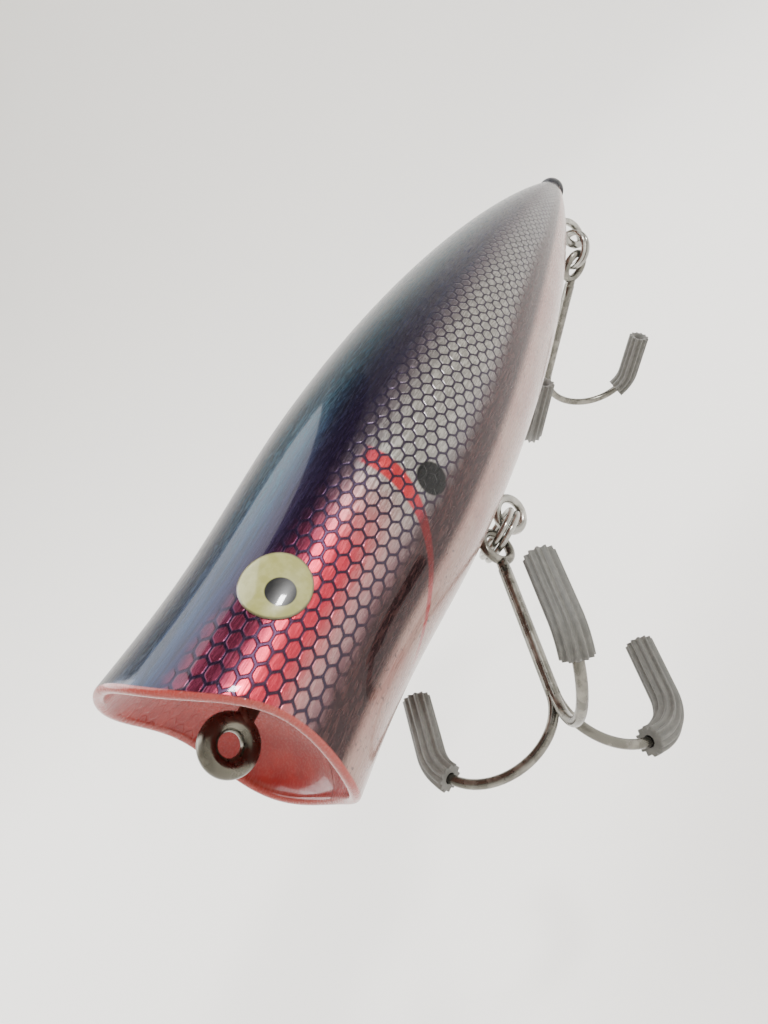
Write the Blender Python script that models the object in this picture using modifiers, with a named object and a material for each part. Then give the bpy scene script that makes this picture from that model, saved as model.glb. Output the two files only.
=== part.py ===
"""Topwater popper: a hollow two-shell fishing lure with two guarded treble hooks.

Units are metres, +Z is up. The nose looks along -X, the tail along +X, the left
flank along -Y and the back along +Z. The origin is the centre of the line-tie
ring, where the fishing line is tied. The hooks lie swung towards the nose, as
they do when the lure rests in a stand.
"""
import math

import bmesh
import bpy
from mathutils import Matrix, Vector

MM = 0.001

# ---- driving dimensions (metres) -------------------------------------------
MOUTH_X = -0.7 * MM            # mean plane of the mouth rim
BODY_RADIUS = 11.6 * MM        # fattest section
NECK_DEPTH = 0.85 * MM         # how much the head narrows behind the rim
NECK_X = 8.3 * MM              # narrowest section of the head
SHOULDER_X = 29.3 * MM         # fattest section, where the tail taper starts
TAPER_LENGTH = 60.5 * MM       # from the shoulder to the virtual tail point
TAPER_POWER = 2.0
TAPER_ROOT = 1.2
TAIL_END_X = 87.3 * MM         # the body's flat tail end
WALL = 1.4 * MM                # moulded wall thickness
SEAM_GAP = 0.06 * MM           # clearance between the two shells
FIT_GAP = 0.08 * MM            # clearance round every inserted metal part

CUP_RADIUS = 10.1 * MM         # mouth opening inside the lip
CUP_BOTTOM_X = 6.0 * MM        # deepest point of the mouth cup
CUP_WALL_X = 1.7 * MM          # the bowl turns into a straight wall here
FACE_SCOOP_RADIUS = 42.0 * MM  # crosswise cylinder that scoops the mouth's rim
FACE_SLANT = math.radians(6.2)  # the upper lip leads the chin
FACE_MIDDLE_X = 0.74 * MM      # rim at the flanks
CAVITY_FRONT_X = 7.6 * MM
CAVITY_END_X = 70.0 * MM

TIE_WIRE = 0.85 * MM           # line-tie wire radius
TIE_RING = 1.85 * MM           # line-tie ring, wire-centre radius
TIE_SHANK_END_X = 17.0 * MM

THREAD_PITCH = 1.1 * MM

HANGER_WIRE = 0.5 * MM
HANGER_RING = 1.85 * MM
BELLY_HANGER = Vector((37.5, 0.0, -14.6)) * MM
TAIL_HANGER = Vector((83.6, 0.0, -5.6)) * MM
BELLY_SHANK_TOP_Z = -3.0 * MM
TAIL_SHANK_TOP_Z = 1.2 * MM

SPLIT_WIRE = 0.34 * MM
SPLIT_PITCH = 0.72 * MM        # the coil's two turns, wire centre to centre
BELLY_SPLIT_RADIUS = 2.95 * MM
TAIL_SPLIT_RADIUS = 2.3 * MM
BELLY_RING_RUN = Vector((-0.994, 0.101, -0.010))    # hanger to ring centre
BELLY_RING_NORMAL = Vector((0.021, 0.299, 0.954))
TAIL_RING_RUN = Vector((-0.676, 0.251, -0.693))
TAIL_RING_NORMAL = Vector((0.715, 0.0, -0.698))
RING_ENDS = Vector((0.3, 1.0, -0.3))  # the side where the coil's ends lie

HOOK_SHANK = 17.2 * MM         # eye centre to the start of the bends
HOOK_GAPE = 13.8 * MM          # shank axis to point
HOOK_BEND = 5.2 * MM           # depth of the bend below the shank
HOOK_POINT = 4.2 * MM          # straight run up to the point
HOOK_WIRE = 0.5 * MM
HOOK_SHANK_RADIUS = 0.8 * MM
HOOK_EYE_RING = 1.8 * MM
PRONG_SPREAD = 120.0           # degrees between prongs
PRONG_OFFSET = 0.22 * MM       # each prong's wire, off the shank's axis

GUARD_RADIUS = 1.45 * MM
GUARD_BORE = 0.62 * MM
GUARD_OVERHANG = 1.8 * MM      # past the hook's point
GUARD_COVER = 7.6 * MM         # wire covered by a straight guard
BENT_GUARD_COVER = 11.6 * MM   # wire covered by the guard pushed round the bend

EYE_RADIUS = 2.95 * MM
EYE_X = 9.2 * MM
EYE_FROM_BACK = math.radians(57.0)
EYE_SEAT_RADIUS = 9.8 * MM     # eye's flat underside, from the body axis
EYE_THICKNESS = 0.75 * MM
EYE_DOME = 0.35 * MM

RATTLE_RADIUS = 1.7 * MM
RATTLE_FRONT_X = 45.0 * MM
RATTLE_REAR_X = 62.0 * MM
RATTLE_COUNT = 3
RATTLE_SPACING = 3.55 * MM
RATTLE_Z = 1.5 * MM
CHAMBER_BORE = 1.95 * MM
CHAMBER_RADIUS = 2.9 * MM

WEIGHT_RADIUS = 2.5 * MM
TAIL_WEIGHT = (52.0 * MM, 60.5 * MM, -4.5 * MM)    # front x, rear x, axis z
BELLY_WEIGHT = (21.5 * MM, 30.5 * MM, -6.4 * MM)

CAP_RADIUS = 1.75 * MM
CAP_LENGTH = 1.5 * MM
CAP_STEM_RADIUS = 0.8 * MM
CAP_STEM_LENGTH = 3.0 * MM

TURN_STEPS = 48                # sides of the body
SMALL_STEPS = 16               # sides of small turned pieces
EYE_STEPS = 28


# ---- materials ---------------------------------------------------------------
def material(name, colour, roughness, metallic):
    mat = bpy.data.materials.new(name)
    mat.use_nodes = True
    shader = mat.node_tree.nodes["Principled BSDF"]
    shader.inputs["Base Color"].default_value = (*colour, 1.0)
    shader.inputs["Roughness"].default_value = roughness
    shader.inputs["Metallic"].default_value = metallic
    return mat


# ---- scene and object helpers ------------------------------------------------
def clear_scene():
    for obj in list(bpy.data.objects):
        bpy.data.objects.remove(obj, do_unlink=True)


def new_collection(name):
    coll = bpy.data.collections.new(name)
    bpy.context.scene.collection.children.link(coll)
    return coll


def add_object(name, data, coll, mat=None):
    obj = bpy.data.objects.new(name, data)
    coll.objects.link(obj)
    if mat is not None:
        obj.data.materials.append(mat)
    return obj


def make_tool(obj):
    """Mark an object as a cutter or joining tool, which is no part itself."""
    obj.hide_render = True
    obj.display_type = "WIRE"
    return obj


def soften(mesh):
    mesh.shade_smooth()
    mesh.set_sharp_from_angle(angle=math.radians(35.0))


def boolean(target, tool, operation):
    mod = target.modifiers.new(operation.lower() + "_" + tool.name, "BOOLEAN")
    mod.operation = operation
    mod.object = tool
    mod.solver = "EXACT"


def baked(obj, name, coll, mat=None):
    """A plain mesh object with obj's evaluated shape; obj is removed."""
    bpy.context.view_layer.update()
    graph = bpy.context.evaluated_depsgraph_get()
    mesh = bpy.data.meshes.new_from_object(obj.evaluated_get(graph))
    mesh.transform(obj.matrix_world)
    mesh.materials.clear()
    edit = bmesh.new()
    edit.from_mesh(mesh)
    bmesh.ops.remove_doubles(edit, verts=edit.verts, dist=1e-6)
    edit.to_mesh(mesh)
    edit.free()
    bpy.data.objects.remove(obj, do_unlink=True)
    soften(mesh)
    return add_object(name, mesh, coll, mat)


def axis_matrix(place, direction):
    """A frame at place whose +Z runs along direction."""
    turn = Vector(direction).to_track_quat("Z", "Y").to_matrix().to_4x4()
    return Matrix.Translation(place) @ turn


ALONG_BODY = axis_matrix((0.0, 0.0, 0.0), (1.0, 0.0, 0.0))


def turned(name, outline, place, coll, mat=None, steps=SMALL_STEPS):
    """Turn an outline of (height, radius) pairs, top first, about local Z."""
    mesh = bpy.data.meshes.new(name)
    points = [(radius, 0.0, height) for height, radius in outline]
    edges = [(i, i + 1) for i in range(len(points) - 1)]
    mesh.from_pydata(points, edges, [])
    obj = add_object(name, mesh, coll, mat)
    screw = obj.modifiers.new("turn", "SCREW")
    screw.steps = steps
    screw.render_steps = steps
    screw.use_merge_vertices = True
    screw.merge_threshold = 1e-6
    obj.matrix_world = place
    return obj


def rod(name, radius, start, end, coll, mat=None, steps=SMALL_STEPS):
    """A plain round rod between two points."""
    run = Vector(end) - Vector(start)
    outline = [(run.length, 0.0), (run.length, radius), (0.0, radius), (0.0, 0.0)]
    return turned(name, outline, axis_matrix(start, run), coll, mat, steps)


def wire(name, points, radius, coll, taper=None, bevel_steps=2):
    """A round wire through points, as a mesh; taper scales its radius."""
    data = bpy.data.curves.new(name, "CURVE")
    data.dimensions = "3D"
    data.bevel_depth = radius
    data.bevel_resolution = bevel_steps
    data.use_fill_caps = True
    spline = data.splines.new("POLY")
    spline.points.add(len(points) - 1)
    for i, point in enumerate(points):
        spline.points[i].co = (*point, 1.0)
        spline.points[i].radius = taper(i / (len(points) - 1)) if taper else 1.0
    return baked(add_object(name, data, coll), name, coll)


def loop(name, centre, hole_axis, ring_radius, wire_radius, coll):
    """A closed wire ring."""
    bpy.ops.mesh.primitive_torus_add(major_radius=ring_radius, minor_radius=wire_radius,
                                     major_segments=24, minor_segments=8)
    obj = bpy.context.object
    obj.name = name
    for old in list(obj.users_collection):
        old.objects.unlink(obj)
    coll.objects.link(obj)
    obj.matrix_world = axis_matrix(centre, hole_axis)
    return obj


def hang_on_pivot(name, place, pieces, coll):
    """Parent moving pieces to an empty on their joint's axis, keeping their place."""
    pivot = add_object(name, None, coll)
    pivot.location = place
    for piece in pieces:
        piece.parent = pivot
        piece.matrix_parent_inverse = Matrix.Translation(place).inverted()


# ---- body --------------------------------------------------------------------
def body_radius(x):
    if x < SHOULDER_X:
        phase = 0.5 * math.pi * (x - NECK_X) / (SHOULDER_X - NECK_X)
        return BODY_RADIUS - NECK_DEPTH * math.cos(phase) ** 2
    run = (x - SHOULDER_X) / TAPER_LENGTH
    return BODY_RADIUS * (1.0 - run ** TAPER_POWER) ** (1.0 / TAPER_ROOT)


def stations(start, end, count):
    """Places along the body, closer together towards the tail."""
    return [start + (end - start) * math.sin(0.5 * math.pi * i / count) for i in range(count + 1)]


def body_outline(start, end, inset, count):
    """Outer line from the tail to the nose, closed on the axis at both ends."""
    places = list(reversed(stations(start, end, count)))
    line = [(x, max(body_radius(x) - inset, 0.4 * MM)) for x in places]
    return [(end, 0.0)] + line + [(start, 0.0)]


def cup_outline(front):
    """The mouth's bowl, from its deepest point out to the lip and forward."""
    bowl = []
    for i in range(11):
        angle = 0.5 * math.pi * i / 10
        depth = (CUP_BOTTOM_X - CUP_WALL_X) * math.cos(angle)
        bowl.append((CUP_WALL_X + depth, CUP_RADIUS * math.sin(angle)))
    return bowl + [(front, CUP_RADIUS + 0.3 * MM), (front, 0.0)]


def face_tool(coll):
    """The crosswise cylinder that scoops the rim: flanks back, lips forward."""
    out = Vector((-math.cos(FACE_SLANT), 0.0, -math.sin(FACE_SLANT)))
    centre = Vector((FACE_MIDDLE_X, 0.0, 0.0)) + FACE_SCOOP_RADIUS * out
    half = Vector((0.0, 20.0 * MM, 0.0))
    return rod("face_scoop", FACE_SCOOP_RADIUS, centre - half, centre + half, coll, steps=128)


def eye_normal(side):
    """Outward direction of an eye; side is -1 on the left flank, 1 on the right."""
    return Vector((0.0, side * math.sin(EYE_FROM_BACK), math.cos(EYE_FROM_BACK)))


def eye_seat(side):
    return Vector((EYE_X, 0.0, 0.0)) + EYE_SEAT_RADIUS * eye_normal(side)


def weight_sleeve(name, spot, tools):
    """A solid boss 1.2 mm longer than its ballast slug at each end."""
    start, end, height = spot
    over = 1.2 * MM
    return rod(name, WEIGHT_RADIUS + 1.0 * MM, (start - over, 0.0, height), (end + over, 0.0, height), tools)


def body_bosses(tools):
    """Posts and chambers moulded inside the shells."""
    bury = 0.6 * MM
    belly_x = BELLY_HANGER.x
    belly_floor = -(body_radius(belly_x) - bury)
    return [
        rod("tie_post", 3.0 * MM, (CUP_BOTTOM_X + bury, 0.0, 0.0),
            (TIE_SHANK_END_X + 1.5 * MM, 0.0, 0.0), tools),
        rod("belly_post", 2.6 * MM, (belly_x, 0.0, belly_floor),
            (belly_x, 0.0, BELLY_SHANK_TOP_Z + 1.5 * MM), tools),
        rod("rattle_tube", CHAMBER_RADIUS, (RATTLE_FRONT_X - 1.5 * MM, 0.0, RATTLE_Z),
            (RATTLE_REAR_X + 1.5 * MM, 0.0, RATTLE_Z), tools),
        rod("rattle_web", 1.2 * MM, (0.5 * (RATTLE_FRONT_X + RATTLE_REAR_X), 0.0, RATTLE_Z + 2.4 * MM),
            (0.5 * (RATTLE_FRONT_X + RATTLE_REAR_X), 0.0, body_radius(53.5 * MM) - bury), tools),
        weight_sleeve("tail_weight_sleeve", TAIL_WEIGHT, tools),
        weight_sleeve("belly_weight_sleeve", BELLY_WEIGHT, tools),
        rod("belly_weight_foot", 2.0 * MM, (24.5 * MM, 0.0, BELLY_WEIGHT[2] - 3.0 * MM),
            (24.5 * MM, 0.0, -(body_radius(24.5 * MM) - bury)), tools),
    ]


def body_bores(tools):
    """Holes that the metal parts, weights, rattles and eyes sit in."""
    bores = [
        rod("tie_bore", TIE_WIRE + FIT_GAP, (CUP_BOTTOM_X - 3.0 * MM, 0.0, 0.0),
            (TIE_SHANK_END_X + FIT_GAP, 0.0, 0.0), tools),
        rod("belly_bore", HANGER_WIRE + FIT_GAP, (BELLY_HANGER.x, 0.0, -20.0 * MM),
            (BELLY_HANGER.x, 0.0, BELLY_SHANK_TOP_Z + FIT_GAP), tools),
        rod("tail_bore", HANGER_WIRE + FIT_GAP, (TAIL_HANGER.x, 0.0, -20.0 * MM),
            (TAIL_HANGER.x, 0.0, TAIL_SHANK_TOP_Z + FIT_GAP), tools),
        rod("rattle_bore", CHAMBER_BORE, (RATTLE_FRONT_X, 0.0, RATTLE_Z),
            (RATTLE_REAR_X, 0.0, RATTLE_Z), tools),
        rod("cap_bore", CAP_STEM_RADIUS + FIT_GAP, (TAIL_END_X - CAP_STEM_LENGTH - FIT_GAP, 0.0, 0.0),
            (TAIL_END_X + 5.0 * MM, 0.0, 0.0), tools),
    ]
    for name, spot in (("tail_weight_bore", TAIL_WEIGHT), ("belly_weight_bore", BELLY_WEIGHT)):
        bores.append(rod(name, WEIGHT_RADIUS + FIT_GAP, (spot[0] - FIT_GAP, 0.0, spot[2]),
                         (spot[1] + FIT_GAP, 0.0, spot[2]), tools))
    for side in (-1, 1):
        seat = eye_seat(side) - FIT_GAP * eye_normal(side)
        bores.append(rod("eye_bore_%d" % side, EYE_RADIUS + FIT_GAP, seat,
                         seat + 4.0 * MM * eye_normal(side), tools, steps=EYE_STEPS))
    return bores


def half_space(name, side, tools):
    """A box over one flank, up to the seam."""
    size = 60.0 * MM
    bpy.ops.mesh.primitive_cube_add(size=1.0)
    obj = bpy.context.object
    obj.name = name
    for old in list(obj.users_collection):
        old.objects.unlink(obj)
    tools.objects.link(obj)
    obj.data.transform(Matrix.Diagonal((3.0 * size, size, size, 1.0)))
    obj.location = (40.0 * MM, side * (0.5 * size + 0.5 * SEAM_GAP), 0.0)
    return obj


def body_shells(parts, tools, mat):
    front = -4.5 * MM
    cavity = turned("cavity", body_outline(CAVITY_FRONT_X, CAVITY_END_X, WALL, 12), ALONG_BODY,
                    tools, steps=TURN_STEPS)
    cup = turned("cup", cup_outline(front - 2.0 * MM), ALONG_BODY, tools, steps=TURN_STEPS)
    mouth = face_tool(tools)
    boolean(mouth, cup, "UNION")
    bosses = body_bosses(tools)
    bores = body_bores(tools)
    for tool in [cavity, cup, mouth] + bosses + bores:
        make_tool(tool)
    for name, side in (("body_shell_left", -1), ("body_shell_right", 1)):
        shell = turned(name, body_outline(front, TAIL_END_X, 0.0, 22), ALONG_BODY, parts, mat,
                       steps=TURN_STEPS)
        boolean(shell, cavity, "DIFFERENCE")
        for boss in bosses:
            boolean(shell, boss, "UNION")
        boolean(shell, mouth, "DIFFERENCE")
        for bore in bores:
            boolean(shell, bore, "DIFFERENCE")
        boolean(shell, make_tool(half_space(name + "_side", side, tools)), "INTERSECT")


# ---- metal fittings ----------------------------------------------------------
def screw_outline(length, radius, thread_start, pitch):
    """A threaded shank, tip first: ridges along it up to the plain neck."""
    line = [(length, 0.0), (length - 0.6 * radius, 0.55 * radius)]
    height = length - 1.2 * radius
    while height - pitch > thread_start:
        line.append((height, radius))
        line.append((height - 0.5 * pitch, 0.8 * radius))
        height -= pitch
    line += [(height, radius), (0.0, radius), (0.0, 0.0)]
    return line


def screw_eye(name, centre, hole_axis, direction, length, ring, thickness, plain, parts, tools, mat):
    """A closed wire eye on a threaded shank that runs along direction."""
    direction = Vector(direction).normalized()
    start = Vector(centre) + ring * direction
    outline = screw_outline(length - ring, thickness, plain, THREAD_PITCH)
    shank = turned(name, outline, axis_matrix(start, direction), parts, mat)
    eye = make_tool(loop(name + "_ring", centre, hole_axis, ring, thickness, tools))
    boolean(shank, eye, "UNION")
    return shank


def split_ring_points(centre, normal, toward, radius):
    """Two stacked turns with one short step from the first to the second."""
    normal = Vector(normal).normalized()
    across = Vector(toward) - Vector(toward).dot(normal) * normal
    across.normalize()
    side = normal.cross(across)
    steps = 44
    points = []
    for i in range(steps + 1):
        turn = i / steps * 1.96
        rise = min(max((turn - 0.88) / 0.2, 0.0), 1.0)
        rise = rise * rise * (3.0 - 2.0 * rise)
        angle = 2.0 * math.pi * turn
        flat = radius * (math.cos(angle) * across + math.sin(angle) * side)
        points.append(Vector(centre) + flat + (rise - 0.5) * SPLIT_PITCH * normal)
    return points


# ---- treble hooks ------------------------------------------------------------
class HookPose:
    """Where a treble hook lies: its eye, its shank direction and first prong."""

    def __init__(self, eye, shank, prong):
        self.eye = Vector(eye)
        self.down = Vector(shank).normalized()
        first = Vector(prong) - Vector(prong).dot(self.down) * self.down
        self.first = first.normalized()
        self.other = self.down.cross(self.first)

    def prong_side(self, number):
        angle = math.radians(PRONG_SPREAD) * number
        return math.cos(angle) * self.first + math.sin(angle) * self.other

    def prong_path(self, number):
        """Centre line from inside the shank, round the bend, to the point."""
        side = self.prong_side(number)
        start = HOOK_SHANK - (3.0 + 0.5 * number) * MM
        path = [(start, PRONG_OFFSET), (HOOK_SHANK - 1.5 * MM, PRONG_OFFSET)]
        for i in range(17):
            angle = math.pi * i / 16
            path.append((HOOK_SHANK + HOOK_BEND * math.sin(angle),
                         PRONG_OFFSET + 0.5 * (HOOK_GAPE - PRONG_OFFSET) * (1.0 - math.cos(angle))))
        for i in range(1, 5):
            path.append((HOOK_SHANK - HOOK_POINT * i / 4, HOOK_GAPE))
        return [self.eye + along * self.down + out * side for along, out in path]


BELLY_HOOK = HookPose(Vector((32.0, -1.05, -14.15)) * MM, (-0.803, -0.377, -0.462), (0.527, -0.087, -0.845))
TAIL_HOOK = HookPose(Vector((80.5, 1.15, -8.78)) * MM, (-0.250, 0.782, -0.571), (0.587, -0.347, -0.732))


def point_taper(fraction):
    """Full wire up to the last stretch, then down to a sharp point."""
    return 1.0 if fraction < 0.9 else max(0.15, (1.0 - fraction) / 0.1)


def treble_hook(name, pose, ring_tangent, parts, tools, mat):
    start = pose.eye + HOOK_EYE_RING * pose.down
    end = pose.eye + (HOOK_SHANK + 0.3 * MM) * pose.down
    shank = rod(name, HOOK_SHANK_RADIUS, start, end, parts, mat, steps=12)
    hole = Vector(ring_tangent) - Vector(ring_tangent).dot(pose.down) * pose.down
    boolean(shank, make_tool(loop(name + "_eye", pose.eye, hole, HOOK_EYE_RING, HOOK_WIRE, tools)), "UNION")
    for number in range(3):
        prong_name = "%s_prong_%d" % (name, number + 1)
        prong = wire(prong_name, pose.prong_path(number), HOOK_WIRE, tools, point_taper)
        boolean(shank, make_tool(prong), "UNION")
    return shank


def along_path(path, distance):
    """A point at a distance along a path, carried on straight past its end."""
    for a, b in zip(path, path[1:]):
        step = (b - a).length
        if distance <= step or b is path[-1]:
            return a + (b - a) * (distance / step)
        distance -= step
    return path[-1]


def guard(name, pose, number, cover, parts, tools, mat):
    """A soft sleeve over a hook's point, bored for the wire and the barb."""
    path = pose.prong_path(number)
    total = sum((b - a).length for a, b in zip(path, path[1:]))
    start, end = total - cover, total + GUARD_OVERHANG
    steps = max(6, round((end - start) / (1.0 * MM)))
    outer = [along_path(path, start + (end - start) * i / steps) for i in range(steps + 1)]
    margin = 1.0 * MM
    inner = [along_path(path, start - margin)] + outer + [along_path(path, end + margin)]
    sleeve = wire(name, outer, GUARD_RADIUS, parts, bevel_steps=3)
    sleeve.data.materials.append(mat)
    boolean(sleeve, make_tool(wire(name + "_bore", inner, GUARD_BORE, tools)), "DIFFERENCE")
    return sleeve


# ---- small pieces ------------------------------------------------------------
def dome_outline(base, height, radius):
    """Points down an elliptical dome, from its top to its rim at base."""
    angles = [0.5 * math.pi * i / 6 for i in range(7)]
    return [(base + height * math.cos(a), radius * math.sin(a)) for a in angles]


def eye_disc(name, side, parts, mat):
    """A low domed eye, flat underneath, seated in the head's recess."""
    outline = dome_outline(EYE_THICKNESS, EYE_DOME, EYE_RADIUS)
    outline += [(0.0, EYE_RADIUS), (0.0, 0.0)]
    return turned(name, outline, axis_matrix(eye_seat(side), eye_normal(side)), parts, mat, steps=EYE_STEPS)


def tail_cap(parts, mat):
    """A button on the tail's end, with a stem pushed into the shells."""
    base = TAIL_END_X + 0.5 * SEAM_GAP
    dome = dome_outline(base, CAP_LENGTH, CAP_RADIUS)
    stem_end = TAIL_END_X - CAP_STEM_LENGTH
    outline = dome + [(base, CAP_STEM_RADIUS), (stem_end, CAP_STEM_RADIUS), (stem_end, 0.0)]
    return turned("tail_cap", outline, ALONG_BODY, parts, mat)


def weight(name, spot, parts, mat):
    start, end, height = spot
    chamfer = 0.4 * MM
    outline = [(end, 0.0), (end, WEIGHT_RADIUS - chamfer), (end - chamfer, WEIGHT_RADIUS),
               (start + chamfer, WEIGHT_RADIUS), (start, WEIGHT_RADIUS - chamfer), (start, 0.0)]
    place = Matrix.Translation((0.0, 0.0, height)) @ ALONG_BODY
    return turned(name, outline, place, parts, mat)


def rattle_ball(number, parts, mat):
    mesh = bpy.data.meshes.new("rattle_ball")
    edit = bmesh.new()
    bmesh.ops.create_uvsphere(edit, u_segments=16, v_segments=10, radius=RATTLE_RADIUS)
    edit.to_mesh(mesh)
    edit.free()
    soften(mesh)
    ball = add_object("rattle_ball_%d" % (number + 1), mesh, parts, mat)
    first = RATTLE_FRONT_X + RATTLE_RADIUS + 0.15 * MM
    ball.location = (first + RATTLE_SPACING * number, 0.0, RATTLE_Z)
    return ball


def main():
    clear_scene()
    parts = new_collection("topwater_popper")
    tools = new_collection("cutters")

    plastic = material("body_shell", (0.30, 0.34, 0.42), 0.2, 0.6)
    nickel = material("line_tie", (0.33, 0.33, 0.31), 0.25, 1.0)
    steel = material("hangers", (0.62, 0.62, 0.60), 0.25, 1.0)
    ring_steel = material("split_rings", (0.66, 0.65, 0.62), 0.2, 1.0)
    hook_steel = material("treble_hooks", (0.42, 0.41, 0.38), 0.3, 1.0)
    sleeve = material("hook_guards", (0.32, 0.32, 0.29), 0.7, 0.0)
    eye_paint = material("eyes", (0.78, 0.76, 0.45), 0.25, 0.0)
    lead = material("ballast", (0.25, 0.26, 0.28), 0.5, 1.0)
    shot = material("rattle_balls", (0.70, 0.70, 0.70), 0.15, 1.0)
    cap_paint = material("tail_cap", (0.06, 0.07, 0.08), 0.4, 0.0)

    body_shells(parts, tools, plastic)
    screw_eye("line_tie_eye", (0.0, 0.0, 0.0), (0.0, 1.0, 0.0), (1.0, 0.0, 0.0), TIE_SHANK_END_X,
              TIE_RING, TIE_WIRE, 6.5 * MM, parts, tools, nickel)
    for name, centre, top in (("belly_hook_hanger", BELLY_HANGER, BELLY_SHANK_TOP_Z),
                              ("tail_hook_hanger", TAIL_HANGER, TAIL_SHANK_TOP_Z)):
        screw_eye(name, centre, (0.0, 1.0, 0.0), (0.0, 0.0, 1.0), top - centre.z,
                  HANGER_RING, HANGER_WIRE, 2.0 * MM, parts, tools, steel)

    for name, hanger, run, normal, radius, pose in (
            ("belly", BELLY_HANGER, BELLY_RING_RUN, BELLY_RING_NORMAL, BELLY_SPLIT_RADIUS, BELLY_HOOK),
            ("tail", TAIL_HANGER, TAIL_RING_RUN, TAIL_RING_NORMAL, TAIL_SPLIT_RADIUS, TAIL_HOOK)):
        centre = hanger + radius * run.normalized()
        points = split_ring_points(centre, normal, RING_ENDS, radius)
        ring = wire(name + "_split_ring", points, SPLIT_WIRE, parts)
        ring.data.materials.append(ring_steel)
        hang_on_pivot(name + "_ring_pivot", hanger, [ring], parts)

        tangent = normal.cross(pose.eye - centre)
        pieces = [treble_hook(name + "_treble_hook", pose, tangent, parts, tools, hook_steel)]
        for number in range(3):
            bent = name == "belly" and number == 0
            cover = BENT_GUARD_COVER if bent else GUARD_COVER
            pieces.append(guard("%s_guard_%d" % (name, number + 1), pose, number, cover,
                                parts, tools, sleeve))
        hang_on_pivot(name + "_hook_pivot", pose.eye, pieces, parts)

    eye_disc("eye_left", -1, parts, eye_paint)
    eye_disc("eye_right", 1, parts, eye_paint)
    tail_cap(parts, cap_paint)
    weight("tail_weight", TAIL_WEIGHT, parts, lead)
    weight("belly_weight", BELLY_WEIGHT, parts, lead)
    for number in range(RATTLE_COUNT):
        rattle_ball(number, parts, shot)


main()
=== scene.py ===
"""Looks of the topwater popper: fine surfaces, materials, camera and studio light."""
import math

import bmesh
import bpy
from mathutils import Matrix, Vector


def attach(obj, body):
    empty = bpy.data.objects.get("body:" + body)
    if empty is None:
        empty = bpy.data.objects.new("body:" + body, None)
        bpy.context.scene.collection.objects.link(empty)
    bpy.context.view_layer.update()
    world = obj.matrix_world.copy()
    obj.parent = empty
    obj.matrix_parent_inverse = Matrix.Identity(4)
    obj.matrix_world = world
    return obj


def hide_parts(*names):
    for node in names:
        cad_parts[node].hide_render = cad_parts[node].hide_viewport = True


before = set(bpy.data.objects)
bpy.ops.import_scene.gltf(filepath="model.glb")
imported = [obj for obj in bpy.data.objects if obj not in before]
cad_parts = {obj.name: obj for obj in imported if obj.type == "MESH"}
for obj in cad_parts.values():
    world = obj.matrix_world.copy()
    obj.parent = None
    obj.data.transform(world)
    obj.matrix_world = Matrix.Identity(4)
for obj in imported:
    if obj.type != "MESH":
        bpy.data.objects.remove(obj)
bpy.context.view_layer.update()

MM = 0.001

# ---- body and hook sizes (metres), the CAD's except for the lip and the eye's radius ----
BODY_RADIUS = 11.6 * MM
NECK_DEPTH = 0.85 * MM
NECK_X = 8.3 * MM
SHOULDER_X = 29.3 * MM
TAPER_LENGTH = 60.5 * MM
TAIL_END_X = 87.3 * MM
SEAM_GAP = 0.06 * MM
CUP_BOTTOM_X = 6.0 * MM
LIP = 0.5 * MM                 # half the lip's thickness
EYE_X = 9.2 * MM
EYE_ANGLE = math.radians(57.0)
EYE_RADIUS = 2.9 * MM
BELLY_HANGER = Vector((37.5, 0.0, -14.6)) * MM
TAIL_HANGER = Vector((83.6, 0.0, -5.6)) * MM
HOOK_SHANK = 17.2 * MM
HOOK_GAPE = 13.8 * MM
HOOK_BEND = 5.2 * MM
HOOK_POINT = 4.2 * MM
PRONG_OFFSET = 0.22 * MM

# ---- wire, sleeve and stage sizes (metres) -----------------------------------
EYE_RING = 1.85 * MM           # centre-line radius of the line tie and of both hangers
TIE_WIRE = 0.85 * MM
HANGER_WIRE = 0.5 * MM
THREAD_PITCH = 0.9 * MM        # finer than the CAD's
RING_WIRE = 0.34 * MM
RING_TURNS = 1.96
RING_STEP = 0.72 * MM          # how far a split ring's second turn lies beside its first
HOOK_EYE = 1.8 * MM
HOOK_WIRE = 0.5 * MM
HOOK_STEM = 0.8 * MM
GUARD_RADIUS = 1.45 * MM
GUARD_GROOVE = 0.30 * MM
GUARD_FLUTES = 12
GUARD_COVER = 7.6 * MM
LONG_GUARD_COVER = 11.6 * MM
GUARD_OVERHANG = 1.8 * MM      # how far a sleeve reaches past its hook's point
BUTTON_LENGTH = 1.5 * MM
BUTTON_RADIUS = 1.75 * MM
FLOOR_Z = -0.062
FLOOR_FLAT = 0.5               # radius of the floor's flat middle
COVE = 0.6                     # radius of the curve from the floor into the wall
WALL_TOP = 1.2
STAGE_X = 0.03                 # the floor's centre, where the lamps aim
SENSOR_HEIGHT = 24.0           # millimetres, like the lens
LENS = 18.75


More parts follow.
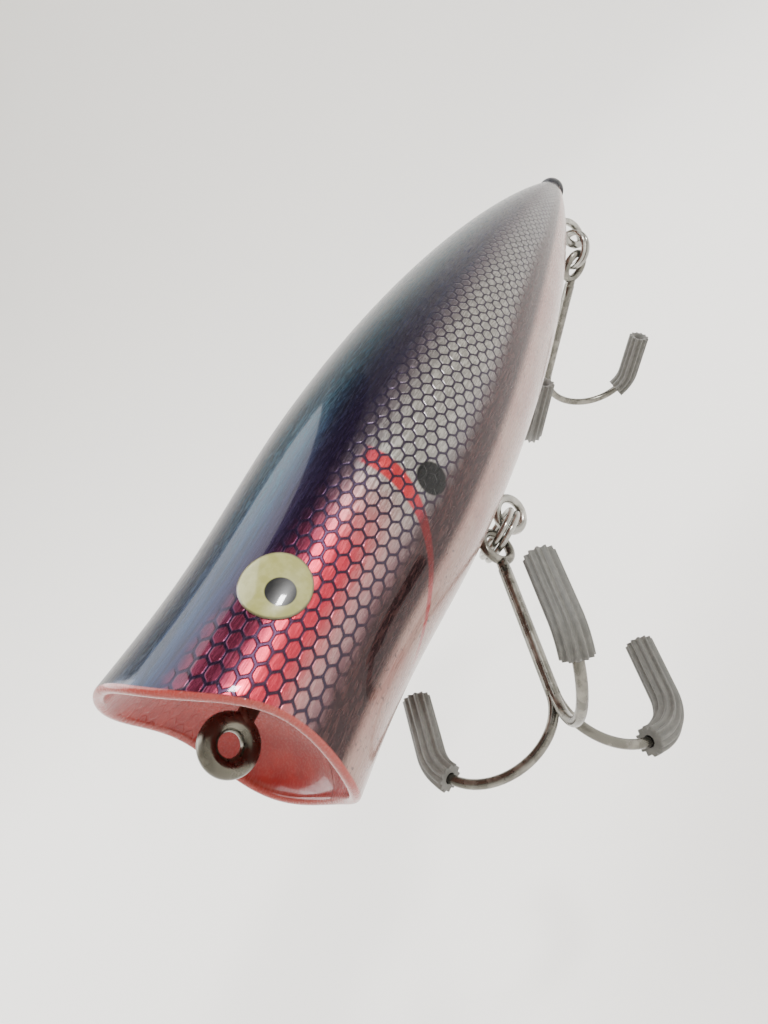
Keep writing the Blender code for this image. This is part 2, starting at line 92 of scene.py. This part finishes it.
# ---- node helpers -------------------------------------------------------------
class Shading:
    """A material with short calls for its maths nodes."""

    def __init__(self, name, tone=1.0):
        self.tone = tone       # every colour given to the material is scaled by this
        self.mat = bpy.data.materials.new(name)
        self.mat.use_nodes = True
        self.tree = self.mat.node_tree
        self.shader = self.tree.nodes["Principled BSDF"]
        coords = self.tree.nodes.new("ShaderNodeTexCoord")
        self.place = coords.outputs["Object"]

    def feed(self, socket, value):
        """Link a socket into this one, or give it a fixed value."""
        if isinstance(value, bpy.types.NodeSocket):
            self.tree.links.new(value, socket)
        else:
            socket.default_value = value

    def calc(self, operation, *values):
        """One maths node."""
        node = self.tree.nodes.new("ShaderNodeMath")
        node.operation = operation
        for socket, value in zip(node.inputs, values):
            self.feed(socket, value)
        return node.outputs[0]

    def ramp(self, value, low, high, start=0.0, end=1.0):
        """Smooth step of value from start at low to end at high."""
        node = self.tree.nodes.new("ShaderNodeMapRange")
        node.interpolation_type = "SMOOTHSTEP"
        for socket, number in zip(node.inputs, (value, low, high, start, end)):
            self.feed(socket, number)
        return node.outputs[0]

    def mix(self, share, first, second):
        """Blend from the first colour to the second."""
        node = self.tree.nodes.new("ShaderNodeMix")
        node.data_type = "RGBA"
        self.feed(node.inputs[0], share)
        for index, colour in ((6, first), (7, second)):
            if isinstance(colour, tuple):
                colour = (*(c * self.tone for c in colour), 1.0)
            self.feed(node.inputs[index], colour)
        return node.outputs[2]

    def noise(self, vector, scale, detail=3.0):
        """Noise from 0 to 1 at the given place."""
        node = self.tree.nodes.new("ShaderNodeTexNoise")
        self.feed(node.inputs["Vector"], vector)
        node.inputs["Scale"].default_value = scale
        node.inputs["Detail"].default_value = detail
        return node.outputs["Fac"]

    def split(self, vector):
        """The three parts of a vector."""
        node = self.tree.nodes.new("ShaderNodeSeparateXYZ")
        self.feed(node.inputs[0], vector)
        return node.outputs

    def join(self, x, y, z):
        """A vector from its three parts."""
        node = self.tree.nodes.new("ShaderNodeCombineXYZ")
        for socket, value in zip(node.inputs, (x, y, z)):
            self.feed(socket, value)
        return node.outputs[0]

    def attribute(self, name):
        """A number stored on the mesh's points."""
        node = self.tree.nodes.new("ShaderNodeAttribute")
        node.attribute_name = name
        return node.outputs["Fac"]

    def bump(self, height, strength, distance):
        """Fine relief from a height."""
        node = self.tree.nodes.new("ShaderNodeBump")
        node.inputs["Strength"].default_value = strength
        node.inputs["Distance"].default_value = distance
        self.feed(node.inputs["Height"], height)
        self.tree.links.new(node.outputs[0], self.shader.inputs["Normal"])

    def set(self, **values):
        """Feed the shader's inputs by short names."""
        names = {"colour": "Base Color", "metallic": "Metallic", "roughness": "Roughness",
                 "coat": "Coat Weight", "coat_roughness": "Coat Roughness",
                 "specular": "Specular IOR Level", "sheen": "Sheen Weight"}
        for key, value in values.items():
            if isinstance(value, tuple):
                value = (*value, 1.0)
            self.feed(self.shader.inputs[names[key]], value)


def paint():
    """The body's finish: brushed blue back, scaled flank, rosy belly and coral mouth."""
    s = Shading("lure_paint", 0.42)
    x, y, z = s.split(s.place)
    x = s.calc("MULTIPLY", x, 1000.0)
    y = s.calc("MULTIPLY", y, 1000.0)
    z = s.calc("MULTIPLY", z, 1000.0)
    side = s.calc("ABSOLUTE", y)
    turn = s.calc("MULTIPLY", s.calc("ARCTAN2", side, z), 180.0 / math.pi)
    reach = s.calc("SQRT", s.calc("ADD", s.calc("MULTIPLY", y, y), s.calc("MULTIPLY", z, z)))
    wobble = s.calc("SUBTRACT", s.noise(s.place, 900.0), 0.5)
    soft_turn = s.calc("ADD", turn, s.calc("MULTIPLY", wobble, 7.0))

    # scales: staggered hexagons that shrink towards the tail, two grids half a cell apart
    along = s.calc("MULTIPLY", s.calc("LOGARITHM", s.calc("SUBTRACT", 150.0, x), math.e), -90.0)
    across = s.calc("DIVIDE", turn, 6.1)
    grids = []
    for shift_u, shift_v in ((0.0, 0.0), (0.866, 0.5)):
        cell_u = s.calc("FLOORED_MODULO", s.calc("ADD", along, shift_u), 1.732)
        cell_v = s.calc("FLOORED_MODULO", s.calc("ADD", across, shift_v), 1.0)
        grids.append((s.calc("ABSOLUTE", s.calc("SUBTRACT", cell_u, 0.866)),
                      s.calc("ABSOLUTE", s.calc("SUBTRACT", cell_v, 0.5))))
    cells = []
    for u, v in grids:
        slanted = s.calc("ADD", s.calc("MULTIPLY", u, 0.866), s.calc("MULTIPLY", v, 0.5))
        cells.append(s.calc("SMOOTH_MAX", slanted, v, 0.16))
    scale_line = s.ramp(s.calc("MINIMUM", cells[0], cells[1]), 0.365, 0.45)

    streaks = s.noise(s.join(s.calc("MULTIPLY", x, 0.05), s.calc("MULTIPLY", y, 0.9),
                             s.calc("MULTIPLY", z, 0.9)), 3.2, 6.0)
    fibres = s.noise(s.join(s.calc("MULTIPLY", x, 0.18), y, z), 5.0, 4.0)
    navy = s.mix(s.ramp(streaks, 0.35, 0.7), (0.003, 0.006, 0.032), (0.006, 0.026, 0.095))
    teal = s.mix(s.ramp(fibres, 0.4, 0.75), (0.001, 0.032, 0.068), (0.006, 0.095, 0.150))
    teal_band = s.calc("MULTIPLY", s.ramp(turn, 2.0, 16.0), s.ramp(turn, 46.0, 28.0))
    teal_band = s.calc("MULTIPLY", teal_band, s.ramp(x, 6.0, 24.0, 0.25, 1.0))
    back = s.mix(teal_band, navy, teal)
    purple = s.calc("MULTIPLY", s.ramp(turn, 30.0, 50.0), s.ramp(x, 60.0, 10.0, 0.35, 0.95))
    back = s.mix(purple, back, (0.022, 0.004, 0.040))

    silver = s.mix(s.ramp(fibres, 0.35, 0.7), (0.42, 0.40, 0.37), (0.66, 0.64, 0.58))
    silver = s.mix(s.ramp(x, 40.0, 80.0, 0.0, 0.7), silver, (0.30, 0.29, 0.34))
    cheek = s.calc("MULTIPLY", s.ramp(x, 24.0, 13.0), s.ramp(turn, 92.0, 76.0, 0.35, 1.0))
    silver = s.mix(s.calc("MULTIPLY", cheek, 0.95), silver, (0.90, 0.018, 0.070))

    # gill mark: a red stroke that runs forward and down; it tints the scales, not their outlines
    drop = s.calc("SUBTRACT", turn, 62.0)
    mark_x = s.calc("SUBTRACT", 23.4, s.calc("MULTIPLY", s.calc("MULTIPLY", drop, drop), 0.00184))
    off_mark = s.calc("ABSOLUTE", s.calc("SUBTRACT", x, mark_x))
    width = s.ramp(turn, 70.0, 110.0, 0.95, 0.50)
    mark = s.ramp(s.calc("SUBTRACT", off_mark, width), 0.18, -0.18)
    mark = s.calc("MULTIPLY", mark, s.ramp(turn, 58.0, 63.0))
    mark = s.calc("MULTIPLY", mark, s.ramp(turn, 143.0, 137.0))
    silver = s.mix(s.calc("MULTIPLY", mark, 0.92), silver, (0.80, 0.008, 0.025))
    shade = s.calc("MAXIMUM", s.ramp(turn, 72.0, 56.0, 0.0, 0.8), s.ramp(turn, 84.0, 99.0, 0.0, 0.6))
    scales = s.mix(shade, silver, (0.060, 0.018, 0.060))
    scales = s.mix(s.calc("MULTIPLY", scale_line, 0.96), scales, (0.022, 0.008, 0.040))

    # painted shade: a dark band where the lower flank turns away from the light, between the scales and
    # the belly; the scale outlines are left out under it
    lower_flank_shade = s.mix(s.ramp(fibres, 0.4, 0.65), (0.036, 0.010, 0.014), (0.085, 0.030, 0.030))
    specks = s.noise(s.place, 2600.0, 2.0)
    belly = s.mix(s.ramp(s.noise(s.place, 260.0), 0.35, 0.7), (0.52, 0.25, 0.21), (0.60, 0.36, 0.30))
    belly = s.mix(s.ramp(specks, 0.62, 0.70, 0.0, 0.8), belly, (0.09, 0.05, 0.05))

    blue_edge = s.ramp(x, 2.0, 17.0, 42.0, 54.0)
    scale_edge = s.ramp(x, 32.0, 60.0, 98.0, 88.0)
    belly_edge = s.ramp(x, 17.0, 75.0, 119.0, 101.0)
    in_scales = s.ramp(s.calc("SUBTRACT", soft_turn, blue_edge), -5.0, 8.0)
    in_lower_flank_shade = s.ramp(s.calc("SUBTRACT", soft_turn, scale_edge), -6.0, 5.0)
    in_belly = s.ramp(s.calc("SUBTRACT", turn, belly_edge), -5.0, 3.0)
    colour = s.mix(in_scales, back, scales)
    colour = s.mix(in_lower_flank_shade, colour, lower_flank_shade)
    colour = s.mix(in_belly, colour, belly)
    lower_mark = s.calc("MULTIPLY", mark, s.ramp(turn, 94.0, 100.0, 0.0, 0.9))
    colour = s.mix(lower_mark, colour, s.mix(in_belly, (0.22, 0.006, 0.010), (0.55, 0.030, 0.040)))

    # one black spot behind the gill mark
    spot_x = s.calc("SUBTRACT", x, 24.9)
    spot_turn = s.calc("MULTIPLY", s.calc("SUBTRACT", turn, 91.3), 0.197)
    spot = s.calc("SQRT", s.calc("ADD", s.calc("MULTIPLY", spot_x, spot_x),
                                 s.calc("MULTIPLY", spot_turn, spot_turn)))
    colour = s.mix(s.ramp(spot, 1.66, 1.40), colour, (0.003, 0.003, 0.004))

    inside = s.calc("MULTIPLY", s.ramp(reach, 10.5, 10.2), s.ramp(x, 6.8, 6.6))
    cup = s.mix(s.ramp(s.noise(s.place, 420.0), 0.35, 0.7), (0.50, 0.020, 0.016), (0.66, 0.045, 0.032))
    colour = s.mix(inside, colour, cup)
    colour = s.mix(s.attribute("lip"), colour, (0.62, 0.090, 0.070))

    shine = s.calc("MULTIPLY", s.calc("SUBTRACT", 1.0, in_belly), s.calc("SUBTRACT", 1.0, inside))
    shine = s.calc("MULTIPLY", shine, s.calc("SUBTRACT", 1.0, s.attribute("lip")))
    s.set(colour=colour, metallic=s.calc("MULTIPLY", shine, 0.72),
          roughness=s.ramp(fibres, 0.3, 0.7, 0.2, 0.32), coat=0.3, coat_roughness=0.05, specular=0.3)
    lines = s.calc("MULTIPLY", scale_line, s.calc("MULTIPLY", in_scales, s.calc("SUBTRACT", 1.0, in_lower_flank_shade)))
    height = s.calc("ADD", s.calc("MULTIPLY", lines, -1.0), s.calc("MULTIPLY", streaks, 0.5))
    s.bump(height, 0.35, 0.00012)
    return s.mat


def metal(name, colour, roughness, worn):
    """Drawn wire: fine mottling, smudges and slightly uneven gloss."""
    s = Shading(name)
    smudge = s.noise(s.place, 650.0, 5.0)
    grain = s.noise(s.place, 5200.0, 2.0)
    s.set(colour=s.mix(s.ramp(smudge, 0.42, 0.68), colour, worn), metallic=1.0,
          roughness=s.ramp(smudge, 0.3, 0.75, roughness, roughness + 0.18))
    s.bump(grain, 0.12, 0.00003)
    return s.mat


def rubber():
    """The sleeves' dusty grey rubber."""
    s = Shading("guard_rubber", 0.42)
    dust = s.noise(s.place, 1500.0, 5.0)
    s.set(colour=s.mix(s.ramp(dust, 0.4, 0.7), (0.20, 0.195, 0.175), (0.27, 0.262, 0.235)),
          roughness=s.ramp(dust, 0.3, 0.7, 0.45, 0.65), specular=0.35, sheen=0.15)
    s.bump(s.noise(s.place, 4200.0, 3.0), 0.2, 0.00003)
    return s.mat


def eye_print():
    """Pale iris with a dark rim and an off-centre pupil, under clear coat."""
    s = Shading("eye_print", 0.55)
    iris = s.mix(s.ramp(s.noise(s.place, 1300.0), 0.35, 0.7), (0.44, 0.43, 0.13), (0.54, 0.53, 0.20))
    iris = s.mix(s.ramp(s.attribute("radial"), 0.93, 0.99), iris, (0.16, 0.13, 0.06))
    s.set(colour=s.mix(s.ramp(s.attribute("pupil"), 0.43, 0.39), iris, (0.004, 0.004, 0.005)),
          roughness=0.3, coat=0.5, coat_roughness=0.05, specular=0.3)
    return s.mat


def dark_cap():
    """The tail button's dark plastic."""
    s = Shading("cap_plastic")
    dust = s.noise(s.place, 1800.0, 4.0)
    s.set(colour=s.mix(dust, (0.012, 0.014, 0.018), (0.05, 0.05, 0.055)), roughness=0.4)
    s.bump(dust, 0.1, 0.00003)
    return s.mat


def floor_paint():
    """The plain pale floor."""
    s = Shading("floor")
    shade = s.noise(s.place, 3.0)
    s.set(colour=s.mix(shade, (0.86, 0.84, 0.81), (0.88, 0.865, 0.83)), roughness=0.9, specular=0.1)
    return s.mat


# ---- mesh helpers --------------------------------------------------------------
def new_object(name, mesh, mat, body, nodes):
    """Add a smooth piece that rides a body and stands in for some of the CAD's nodes."""
    mesh.shade_smooth()
    mesh.materials.append(mat)
    obj = bpy.data.objects.new(name, mesh)
    bpy.context.scene.collection.objects.link(obj)
    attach(obj, body)
    if nodes:
        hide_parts(*nodes)
    return obj


def sheet_of(rows, columns, closed):
    """Quads over a grid of points, row after row."""
    faces = []
    for i in range(rows - 1):
        for j in range(columns if closed else columns - 1):
            k = (j + 1) % columns
            faces.append((i * columns + j, i * columns + k, (i + 1) * columns + k, (i + 1) * columns + j))
    return faces


def carried_frames(path, closed):
    """Tangent and side directions along a path, carried on without twisting."""
    count = len(path)
    frames = []
    side = None
    for i, point in enumerate(path):
        after = path[(i + 1) % count] if closed or i < count - 1 else point
        before = path[i - 1] if closed or i > 0 else point
        tangent = (after - before).normalized()
        if side is None:
            side = tangent.orthogonal()
        side = (side - side.dot(tangent) * tangent).normalized()
        frames.append((tangent, side, tangent.cross(side)))
    return frames


def add_tube(verts, faces, path, radius, sides=20, closed=False):
    """Append a round tube; radius is a number or a function of 0..1 along the path."""
    base = len(verts)
    count = len(path)
    for i, (point, axes) in enumerate(zip(path, carried_frames(path, closed))):
        size = radius(i / (count - 1)) if callable(radius) else radius
        for j in range(sides):
            angle = 2.0 * math.pi * j / sides
            out = size * (math.cos(angle) * axes[1] + math.sin(angle) * axes[2])
            verts.append(point + out)
    rows = count + 1 if closed else count
    for i in range(rows - 1):
        low, high = base + i * sides, base + ((i + 1) % count) * sides
        for j in range(sides):
            k = (j + 1) % sides
            faces.append((low + j, low + k, high + k, high + j))
    if not closed:
        faces.append(tuple(base + j for j in reversed(range(sides))))
        faces.append(tuple(base + (count - 1) * sides + j for j in range(sides)))


def mesh_from(name, verts, faces):
    mesh = bpy.data.meshes.new(name)
    mesh.from_pydata([tuple(v) for v in verts], [], faces)
    mesh.update()
    return mesh


def circle(centre, normal, radius, count=64):
    """Points round a circle."""
    side = Vector(normal).orthogonal().normalized()
    other = Vector(normal).normalized().cross(side)
    points = []
    for i in range(count):
        angle = 2.0 * math.pi * i / count
        points.append(Vector(centre) + radius * (math.cos(angle) * side + math.sin(angle) * other))
    return points


def straight(start, end, count):
    """Evenly spaced points from start to end."""
    return [Vector(start).lerp(Vector(end), i / (count - 1)) for i in range(count)]


# ---- body -----------------------------------------------------------------------
def body_radius(x):
    """The body's radius at x: a slight neck behind the mouth, then a long taper to the tail."""
    if x < SHOULDER_X:
        phase = 0.5 * math.pi * (x - NECK_X) / (SHOULDER_X - NECK_X)
        return BODY_RADIUS - NECK_DEPTH * math.cos(phase) ** 2
    run = (x - SHOULDER_X) / TAPER_LENGTH
    return BODY_RADIUS * (1.0 - run * run) ** (1.0 / 1.2)


def rim_x(turn):
    """The mouth's rim: the upper lip leads, the flanks scoop back, the chin trails."""
    lobes = 1.01 if turn < 0.5 * math.pi else 0.55
    shift = 1.44 * math.sin(turn) ** 2 - 1.20 * math.cos(turn) - lobes * math.sin(2.0 * turn) ** 2
    shift -= 0.31 * math.cos(3.0 * turn)
    return (shift - 0.7) * MM


def shell_line(turn):
    """(x, radius, lip share) from the tail, round the lip, to the cup's bottom."""
    rim = rim_x(turn)
    low = max(0.0, turn / (0.5 * math.pi) - 1.0)
    square = 0.35 * MM * math.sin(math.pi * low) ** 2
    line = []
    for i in range(141):
        share = 1.0 - i / 140
        x = rim + LIP + (TAIL_END_X - rim - LIP) * math.sin(0.5 * math.pi * share)
        line.append((x, body_radius(x) + square * math.exp(-((x - rim) / (8.0 * MM)) ** 2), 0.0))
    outer = body_radius(rim + LIP) + square
    for i in range(1, 12):
        angle = math.pi * i / 12
        line.append((rim + LIP - LIP * math.sin(angle), outer - LIP + LIP * math.cos(angle), 1.0))
    inner = outer - 2.0 * LIP
    wall = rim + LIP
    for i in range(37):
        angle = 0.5 * math.pi * i / 36
        x = wall + (CUP_BOTTOM_X - wall) * math.sin(angle) ** 1.25
        line.append((x, inner * math.cos(angle), max(0.0, 1.0 - i / 2)))
    return line


def body_shell(name, side, mat):
    """One half of the body's skin, from the tail round the lip to the cup's bottom."""
    columns = 97
    lines = [shell_line(math.pi * j / (columns - 1)) for j in range(columns)]
    rows = len(lines[0])
    verts, lips = [], []
    for i in range(rows):
        for j in range(columns):
            turn = math.pi * j / (columns - 1)
            x, radius, lip = lines[j][i]
            y = side * max(radius * math.sin(turn), 0.5 * SEAM_GAP)
            verts.append(Vector((x, y, radius * math.cos(turn))))
            lips.append(lip)
    mesh = mesh_from(name, verts, sheet_of(rows, columns, False))
    layer = mesh.attributes.new("lip", "FLOAT", "POINT")
    layer.data.foreach_set("value", lips)
    if side < 0:
        mesh.flip_normals()
    node = "body_shell_left" if side < 0 else "body_shell_right"
    return new_object(name, mesh, mat, "body", [node])


def eye(name, side, mat):
    """A low dome laid on the flank, with its pupil set towards the belly."""
    rings, steps = 16, 64
    verts, radial, pupil = [], [], []
    for i in range(rings + 3):
        share = min(i / rings, 1.0)
        sunk = 0.0 if i <= rings else 0.12 * MM * (i - rings)
        for j in range(steps):
            angle = 2.0 * math.pi * j / steps
            du = EYE_RADIUS * share * math.cos(angle)
            dv = EYE_RADIUS * share * math.sin(angle)
            surface = body_radius(EYE_X + du)
            turn = EYE_ANGLE + dv / surface
            reach = surface + 0.14 * MM + 0.26 * MM * (1.0 - share * share) ** 0.8 - sunk
            verts.append(Vector((EYE_X + du, side * reach * math.sin(turn), reach * math.cos(turn))))
            radial.append(share)
            pupil.append(math.hypot(du + 0.45 * MM, dv - 0.70 * MM) / EYE_RADIUS)
    mesh = mesh_from(name, verts, sheet_of(rings + 3, steps, True))
    for label, values in (("radial", radial), ("pupil", pupil)):
        mesh.attributes.new(label, "FLOAT", "POINT").data.foreach_set("value", values)
    clean = bmesh.new()
    clean.from_mesh(mesh)
    bmesh.ops.remove_doubles(clean, verts=clean.verts, dist=1e-7)
    bmesh.ops.recalc_face_normals(clean, faces=clean.faces)
    clean.to_mesh(mesh)
    clean.free()
    return new_object(name, mesh, mat, "body", ["eye_left" if side < 0 else "eye_right"])


def tail_button(mat):
    """The low dome on the tail's end."""
    verts, faces = [], []
    path = []
    for i in range(13):
        rise = BUTTON_LENGTH * math.sin(0.5 * math.pi * i / 12)
        path.append(Vector((TAIL_END_X + rise, 0.0, 0.0)))
    add_tube(verts, faces, path, lambda share: BUTTON_RADIUS * math.cos(0.49 * math.pi * share) ** 0.8, 40)
    mesh = mesh_from("tail_button", verts, faces)
    return new_object("tail_button", mesh, mat, "body", ["tail_cap"])


# ---- wire parts ------------------------------------------------------------------
def wire_eye(name, centre, hole_axis, direction, length, ring, thickness, plain, mat, node):
    """A closed eye whose shank runs along direction, with thread ridges beyond the plain neck."""
    verts, faces = [], []
    add_tube(verts, faces, circle(centre, hole_axis, ring, 96), thickness, 32, closed=True)
    direction = Vector(direction)
    start = Vector(centre) + ring * direction
    path = straight(start, Vector(centre) + length * direction, 161)
    run = length - ring

    def ridged(share):
        if share * run < plain:
            return thickness
        return thickness * (0.88 + 0.12 * math.sin(2.0 * math.pi * share * run / THREAD_PITCH))

    add_tube(verts, faces, path, ridged, 28)
    return new_object(name, mesh_from(name, verts, faces), mat, "body", [node])


def split_ring(name, centre, normal, toward, radius, mat, body, node):
    """Nearly two turns of wire side by side."""
    normal = Vector(normal).normalized()
    across = (Vector(toward) - Vector(toward).dot(normal) * normal).normalized()
    side = normal.cross(across)
    path = []
    for i in range(193):
        turn = i / 192 * RING_TURNS
        rise = min(max((turn - 0.88) / 0.2, 0.0), 1.0)
        rise = rise * rise * (3.0 - 2.0 * rise) - 0.5
        angle = 2.0 * math.pi * turn
        flat = math.cos(angle) * across + math.sin(angle) * side
        path.append(centre + radius * flat + rise * RING_STEP * normal)
    verts, faces = [], []
    add_tube(verts, faces, path, RING_WIRE, 16)
    return new_object(name, mesh_from(name, verts, faces), mat, body, [node])


class Treble:
    """A treble hook's lie: eye, shank direction and first prong's direction."""

    def __init__(self, eye_at, shank, prong):
        self.eye = Vector(eye_at)
        self.down = Vector(shank).normalized()
        self.first = (Vector(prong) - Vector(prong).dot(self.down) * self.down).normalized()
        self.other = self.down.cross(self.first)

    def prong(self, number):
        """Centre line from the shank, round the bend, to the point."""
        angle = math.radians(120.0) * number
        side = math.cos(angle) * self.first + math.sin(angle) * self.other
        path = [(HOOK_SHANK * i / 12, PRONG_OFFSET) for i in range(2, 12)]
        for i in range(49):
            bend = math.pi * i / 48
            path.append((HOOK_SHANK + HOOK_BEND * math.sin(bend),
                         PRONG_OFFSET + 0.5 * (HOOK_GAPE - PRONG_OFFSET) * (1.0 - math.cos(bend))))
        for i in range(1, 9):
            path.append((HOOK_SHANK - HOOK_POINT * i / 8, HOOK_GAPE))
        return [self.eye + along * self.down + out * side for along, out in path]


def treble_hook(name, pose, tangent, mat, body, node):
    """The hook's eye, stem and three prongs."""
    verts, faces = [], []
    hole = (Vector(tangent) - Vector(tangent).dot(pose.down) * pose.down).normalized()
    add_tube(verts, faces, circle(pose.eye, hole, HOOK_EYE, 64), HOOK_WIRE, 20, closed=True)
    start = pose.eye + 1.9 * MM * pose.down
    end = pose.eye + (HOOK_SHANK + 0.2 * MM) * pose.down
    add_tube(verts, faces, straight(start, end, 24),
             lambda share: HOOK_STEM * (0.78 + 0.05 * share), 24)
    for number in range(3):
        add_tube(verts, faces, pose.prong(number),
                 lambda share: HOOK_WIRE * min(1.0, max(0.15, (1.0 - share) / 0.1)), 18)
    return new_object(name, mesh_from(name, verts, faces), mat, body, [node])


def at_distance(path, distance):
    """The point at a distance along a path."""
    for a, b in zip(path, path[1:]):
        step = (b - a).length
        if distance <= step or b is path[-1]:
            return a + (b - a) * (distance / step)
        distance -= step
    return path[-1]


def guard(node, pose, number, cover, mat, body):
    """A fluted soft sleeve with an open bore at its free end."""
    path = pose.prong(number)
    total = sum((b - a).length for a, b in zip(path, path[1:]))
    start = total - cover
    end = total + GUARD_OVERHANG
    middle = [at_distance(path, start + (end - start) * i / 40) for i in range(41)]
    frames = carried_frames(middle, False)
    sides, verts = 96, []
    line = [(i, 0.0, 1.0) for i in range(41)]
    line += [(40, 0.03 * MM, 0.90), (40, 0.0, 0.70), (40, -0.10 * MM, 0.50), (40, -1.6 * MM, 0.44)]
    line = [(0, 0.0, 0.40), (0, 0.0, 0.93)] + line
    for index, ahead, share in line:
        tangent, side, other = frames[index]
        for j in range(sides):
            angle = 2.0 * math.pi * j / sides
            flute = 0.5 - 0.5 * math.cos(GUARD_FLUTES * angle)
            groove = GUARD_GROOVE * flute if share > 0.85 else 0.0
            out = (GUARD_RADIUS * share - groove) * (math.cos(angle) * side + math.sin(angle) * other)
            verts.append(middle[index] + ahead * tangent + out)
    faces = sheet_of(len(line), sides, True)
    faces.append(tuple(range((len(line) - 1) * sides, len(line) * sides)))
    name = node + "_sleeve"
    return new_object(name, mesh_from(name, verts, faces), mat, body, [node])


# ---- build -----------------------------------------------------------------------
paint_mat = paint()
nickel = metal("dark_nickel", (0.085, 0.08, 0.065), 0.2, (0.15, 0.14, 0.115))
bright = metal("bright_wire", (0.26, 0.255, 0.235), 0.14, (0.40, 0.39, 0.36))
hook_mat = metal("hook_steel", (0.12, 0.115, 0.10), 0.2, (0.22, 0.21, 0.185))
guard_mat = rubber()
eye_mat = eye_print()
cap_mat = dark_cap()

for label, side in (("left", -1), ("right", 1)):
    body_shell("shell_skin_" + label, side, paint_mat)
    eye("eye_dome_" + label, side, eye_mat)
tail_button(cap_mat)

ACROSS = (0.0, 1.0, 0.0)
wire_eye("line_tie", (0.0, 0.0, 0.0), ACROSS, (1.0, 0.0, 0.0), 17.0 * MM, EYE_RING, TIE_WIRE, 1.8 * MM,
         nickel, "line_tie_eye")
wire_eye("belly_hanger", BELLY_HANGER, ACROSS, (0.0, 0.0, 1.0), 11.6 * MM, EYE_RING, HANGER_WIRE, 2.0 * MM,
         bright, "belly_hook_hanger")
wire_eye("tail_hanger", TAIL_HANGER, ACROSS, (0.0, 0.0, 1.0), 6.8 * MM, EYE_RING, HANGER_WIRE, 2.0 * MM,
         bright, "tail_hook_hanger")

RIGS = (
    ("belly", BELLY_HANGER, Vector((-0.994, 0.101, -0.010)), Vector((0.021, 0.299, 0.954)), 2.95 * MM,
     Treble(Vector((32.0, -1.05, -14.15)) * MM, (-0.803, -0.377, -0.462), (0.527, -0.087, -0.845))),
    ("tail", TAIL_HANGER, Vector((-0.676, 0.251, -0.693)), Vector((0.715, 0.0, -0.698)), 2.3 * MM,
     Treble(Vector((80.5, 1.15, -8.78)) * MM, (-0.250, 0.782, -0.571), (0.587, -0.347, -0.732))),
)
for name, hanger, run, normal, radius, pose in RIGS:
    centre = hanger + radius * run.normalized()
    split_ring(name + "_ring_coil", centre, normal, (0.3, 1.0, -0.3), radius, bright,
               name + "_ring", name + "_split_ring")
    treble_hook(name + "_hook_wire", pose, normal.cross(pose.eye - centre), hook_mat,
                name + "_hook", name + "_treble_hook")
    for number in range(3):
        cover = LONG_GUARD_COVER if name == "belly" and number == 0 else GUARD_COVER
        guard("%s_guard_%d" % (name, number + 1), pose, number, cover, guard_mat, name + "_hook")

for name in ("belly_weight", "tail_weight"):
    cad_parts[name].data.materials[0] = nickel
for number in range(3):
    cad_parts["rattle_ball_%d" % (number + 1)].data.materials[0] = bright

# ---- stage ------------------------------------------------------------------------
profile = [(0.0, FLOOR_Z), (FLOOR_FLAT, FLOOR_Z)]
for degrees in range(6, 91, 6):
    angle = math.radians(degrees)
    profile.append((FLOOR_FLAT + COVE * math.sin(angle), FLOOR_Z + COVE - COVE * math.cos(angle)))
profile.append((FLOOR_FLAT + COVE, WALL_TOP))
stage_verts = []
for radius, height in profile:
    for degrees in range(0, 360, 5):
        angle = math.radians(degrees)
        stage_verts.append(Vector((STAGE_X + radius * math.cos(angle), radius * math.sin(angle), height)))
stage_mesh = mesh_from("floor", stage_verts, sheet_of(len(profile), 72, True))
stage_mesh.shade_smooth()
stage_mesh.materials.append(floor_paint())
floor = bpy.data.objects.new("floor", stage_mesh)
bpy.context.scene.collection.objects.link(floor)

camera = bpy.data.objects.new("camera", bpy.data.cameras.new("camera"))
bpy.context.scene.collection.objects.link(camera)
right = Vector((0.4083, -0.5283, -0.7444))
up = Vector((0.7270, -0.3049, 0.6152))
look = Vector((0.5520, 0.7924, -0.2596))
aim = Matrix((right, up, -look)).transposed().to_4x4()
camera.matrix_world = Matrix.Translation(Vector((-16.64, -62.65, 18.77)) * MM) @ aim
camera.data.sensor_fit = "VERTICAL"
camera.data.sensor_height = SENSOR_HEIGHT
camera.data.lens = LENS
camera.data.clip_start = 0.001
camera.data.clip_end = 20.0
bpy.context.scene.camera = camera


def area_light(name, place, size, power):
    """A square lamp aimed at the body, above the floor's centre."""
    data = bpy.data.lights.new(name, "AREA")
    data.size = size
    data.energy = power
    lamp = bpy.data.objects.new(name, data)
    bpy.context.scene.collection.objects.link(lamp)
    lamp.location = place
    toward = Vector((STAGE_X, 0.0, 0.0)) - Vector(place)
    lamp.rotation_euler = toward.to_track_quat("-Z", "Y").to_euler()


area_light("window", (0.150, -0.370, 0.245), 0.045, 1.6)
area_light("soft", (-0.10, 0.55, 0.60), 0.60, 7.0)
area_light("overhead", (0.10, 0.15, 0.90), 0.90, 15.0)

world = bpy.data.worlds.new("studio")
world.use_nodes = True
world.node_tree.nodes["Background"].inputs[0].default_value = (0.83, 0.82, 0.80, 1.0)
world.node_tree.nodes["Background"].inputs[1].default_value = 0.35
bpy.context.scene.world = world
